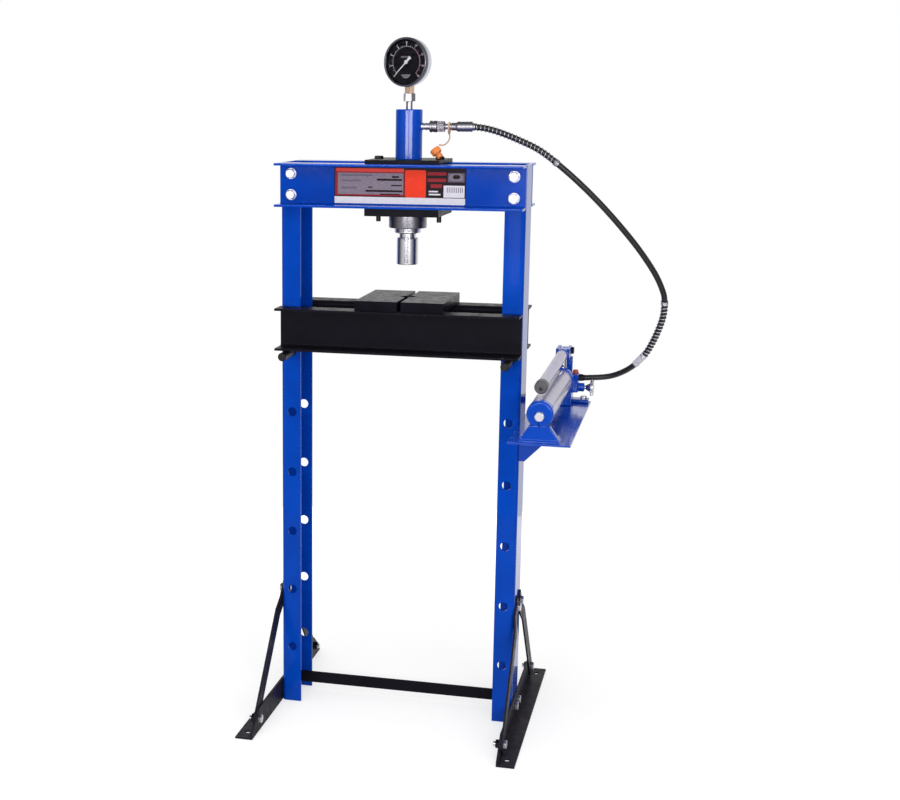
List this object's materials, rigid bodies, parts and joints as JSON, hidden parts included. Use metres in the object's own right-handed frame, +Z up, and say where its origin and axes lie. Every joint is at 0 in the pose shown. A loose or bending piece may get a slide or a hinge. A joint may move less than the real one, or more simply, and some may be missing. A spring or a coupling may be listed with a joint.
{
  "type": "hydraulic press",
  "caption": "Floor-standing H-frame hydraulic press with a gauge, an adjustable bed on pins, and a hand pump on a side shelf that feeds the ram through a hose.",
  "frame": {"origin": "on the floor, at the middle of the floor bolt pattern of the two feet", "axes": "+X to the right along the bed, towards the pump; +Y to the rear; +Z up"},
  "size_m": [0.842, 0.564, 1.455],
  "materials": {
    "blue_paint": "gloss royal blue paint",
    "black_paint": "satin black paint, scuffed at the edges",
    "zinc_steel": "bright zinc plate",
    "dark_steel": "dark oiled steel",
    "bright_steel": "machined steel",
    "silver_paint": "silver paint",
    "chrome": "polished chrome",
    "brass": "turned brass",
    "gauge_black": "black enamel",
    "pointer_white": "white lacquer",
    "clear_glass": "clear",
    "hose_rubber": "smooth black rubber",
    "orange_plastic": "orange, moulded",
    "tether_plastic": "brown, flexible",
    "grey_plastic": "grey, moulded"
  },
  "bodies": {
    "frame": {"left_column": "blue_paint", "right_column": "blue_paint", "head_beam_front": "blue_paint", "head_beam_rear": "blue_paint", "head_bolts": "zinc_steel", "head_nuts": "zinc_steel", "top_plate": "black_paint", "bottom_plate": "black_paint", "clamp_bolts": "dark_steel", "left_foot": "black_paint", "right_foot": "black_paint", "braces": "black_paint", "foot_bolts": "zinc_steel", "foot_nuts": "dark_steel", "tie_bar": "black_paint", "cylinder_barrel": "blue_paint", "cylinder_collar": "bright_steel", "cylinder_gland": "bright_steel", "gauge_adapter": "bright_steel", "gauge_stem": "brass", "gauge_case": "chrome", "gauge_bezel": "chrome", "gauge_dial": "gauge_black", "gauge_lens": "clear_glass", "coupler_nipple": "bright_steel", "coupler_sleeve": "bright_steel", "hose_ferrules": "bright_steel", "hose_guards": "dark_steel", "hose": "hose_rubber", "hose_fitting": "bright_steel", "dust_cap": "orange_plastic", "cap_tether": "tether_plastic", "pump_shelf": "blue_paint", "shelf_bolts": "dark_steel", "shelf_nuts": "dark_steel", "pump_mount_bolts": "dark_steel", "reservoir_tube": "silver_paint", "reservoir_cap": "blue_paint", "reservoir_tie_rod": "zinc_steel", "pump_head": "blue_paint", "pump_gland": "bright_steel", "filler_plug": "orange_plastic"},
    "ram": {"ram_plunger": "bright_steel", "ram_seal": "hose_rubber", "ram_nose": "bright_steel", "return_spring": "dark_steel"},
    "bed": {"bed_beam_front": "black_paint", "bed_beam_rear": "black_paint", "bed_spacers": "black_paint", "arbor_plates": "black_paint"},
    "left_pin": {"left_bed_pin": "dark_steel"},
    "right_pin": {"right_bed_pin": "dark_steel"},
    "lever": {"pump_beam": "blue_paint", "pump_handle": "silver_paint", "handle_plug": "grey_plastic", "pivot_bolt": "dark_steel", "plunger_pin": "bright_steel"},
    "plunger": {"pump_plunger": "bright_steel"},
    "valve": {"release_valve": "chrome"},
    "pointer": {"gauge_pointer": "pointer_white"}
  },
  "joints": [
    {"name": "ram_slide", "type": "slide", "parent": "frame", "child": "ram", "axis": [0, 0, -1], "range_m": [0, 0.05], "stiffness_N_per_m": 800, "springref_m": -0.06, "deforming": ["return_spring"]},
    {"name": "bed_lift", "type": "slide", "parent": "frame", "child": "bed", "axis": [0, 0, 1], "range_m": [0, 0.014]},
    {"name": "left_pin_slide", "type": "slide", "parent": "frame", "child": "left_pin", "axis": [0, -1, 0], "range_m": [0, 0.18]},
    {"name": "right_pin_slide", "type": "slide", "parent": "frame", "child": "right_pin", "axis": [0, -1, 0], "range_m": [0, 0.18]},
    {"name": "pump_lever", "type": "hinge", "parent": "frame", "child": "lever", "pos_m": [0.324, 0.2, 0.786], "axis": [-0.9999, 0.014, 0], "range_deg": [0, 45]},
    {"name": "plunger_slide", "type": "slide", "parent": "frame", "child": "plunger", "axis": [0, 0, 1], "range_m": [0, 0.02]},
    {"name": "release_valve", "type": "hinge", "parent": "frame", "child": "valve", "pos_m": [0.384, 0.184, 0.707], "axis": [1, 0, 0], "range_deg": [0, 360]},
    {"name": "gauge_needle", "type": "hinge", "parent": "frame", "child": "pointer", "pos_m": [-0.00114, -0.02008, 1.405], "axis": [0.2924, 0.9563, 0], "range_deg": [0, 270], "stiffness_Nm_per_rad": 0.001}
  ],
  "couplings": [
    {"joint": "plunger_slide", "follows": "pump_lever", "m_per_rad": 0.0234}
  ]
}
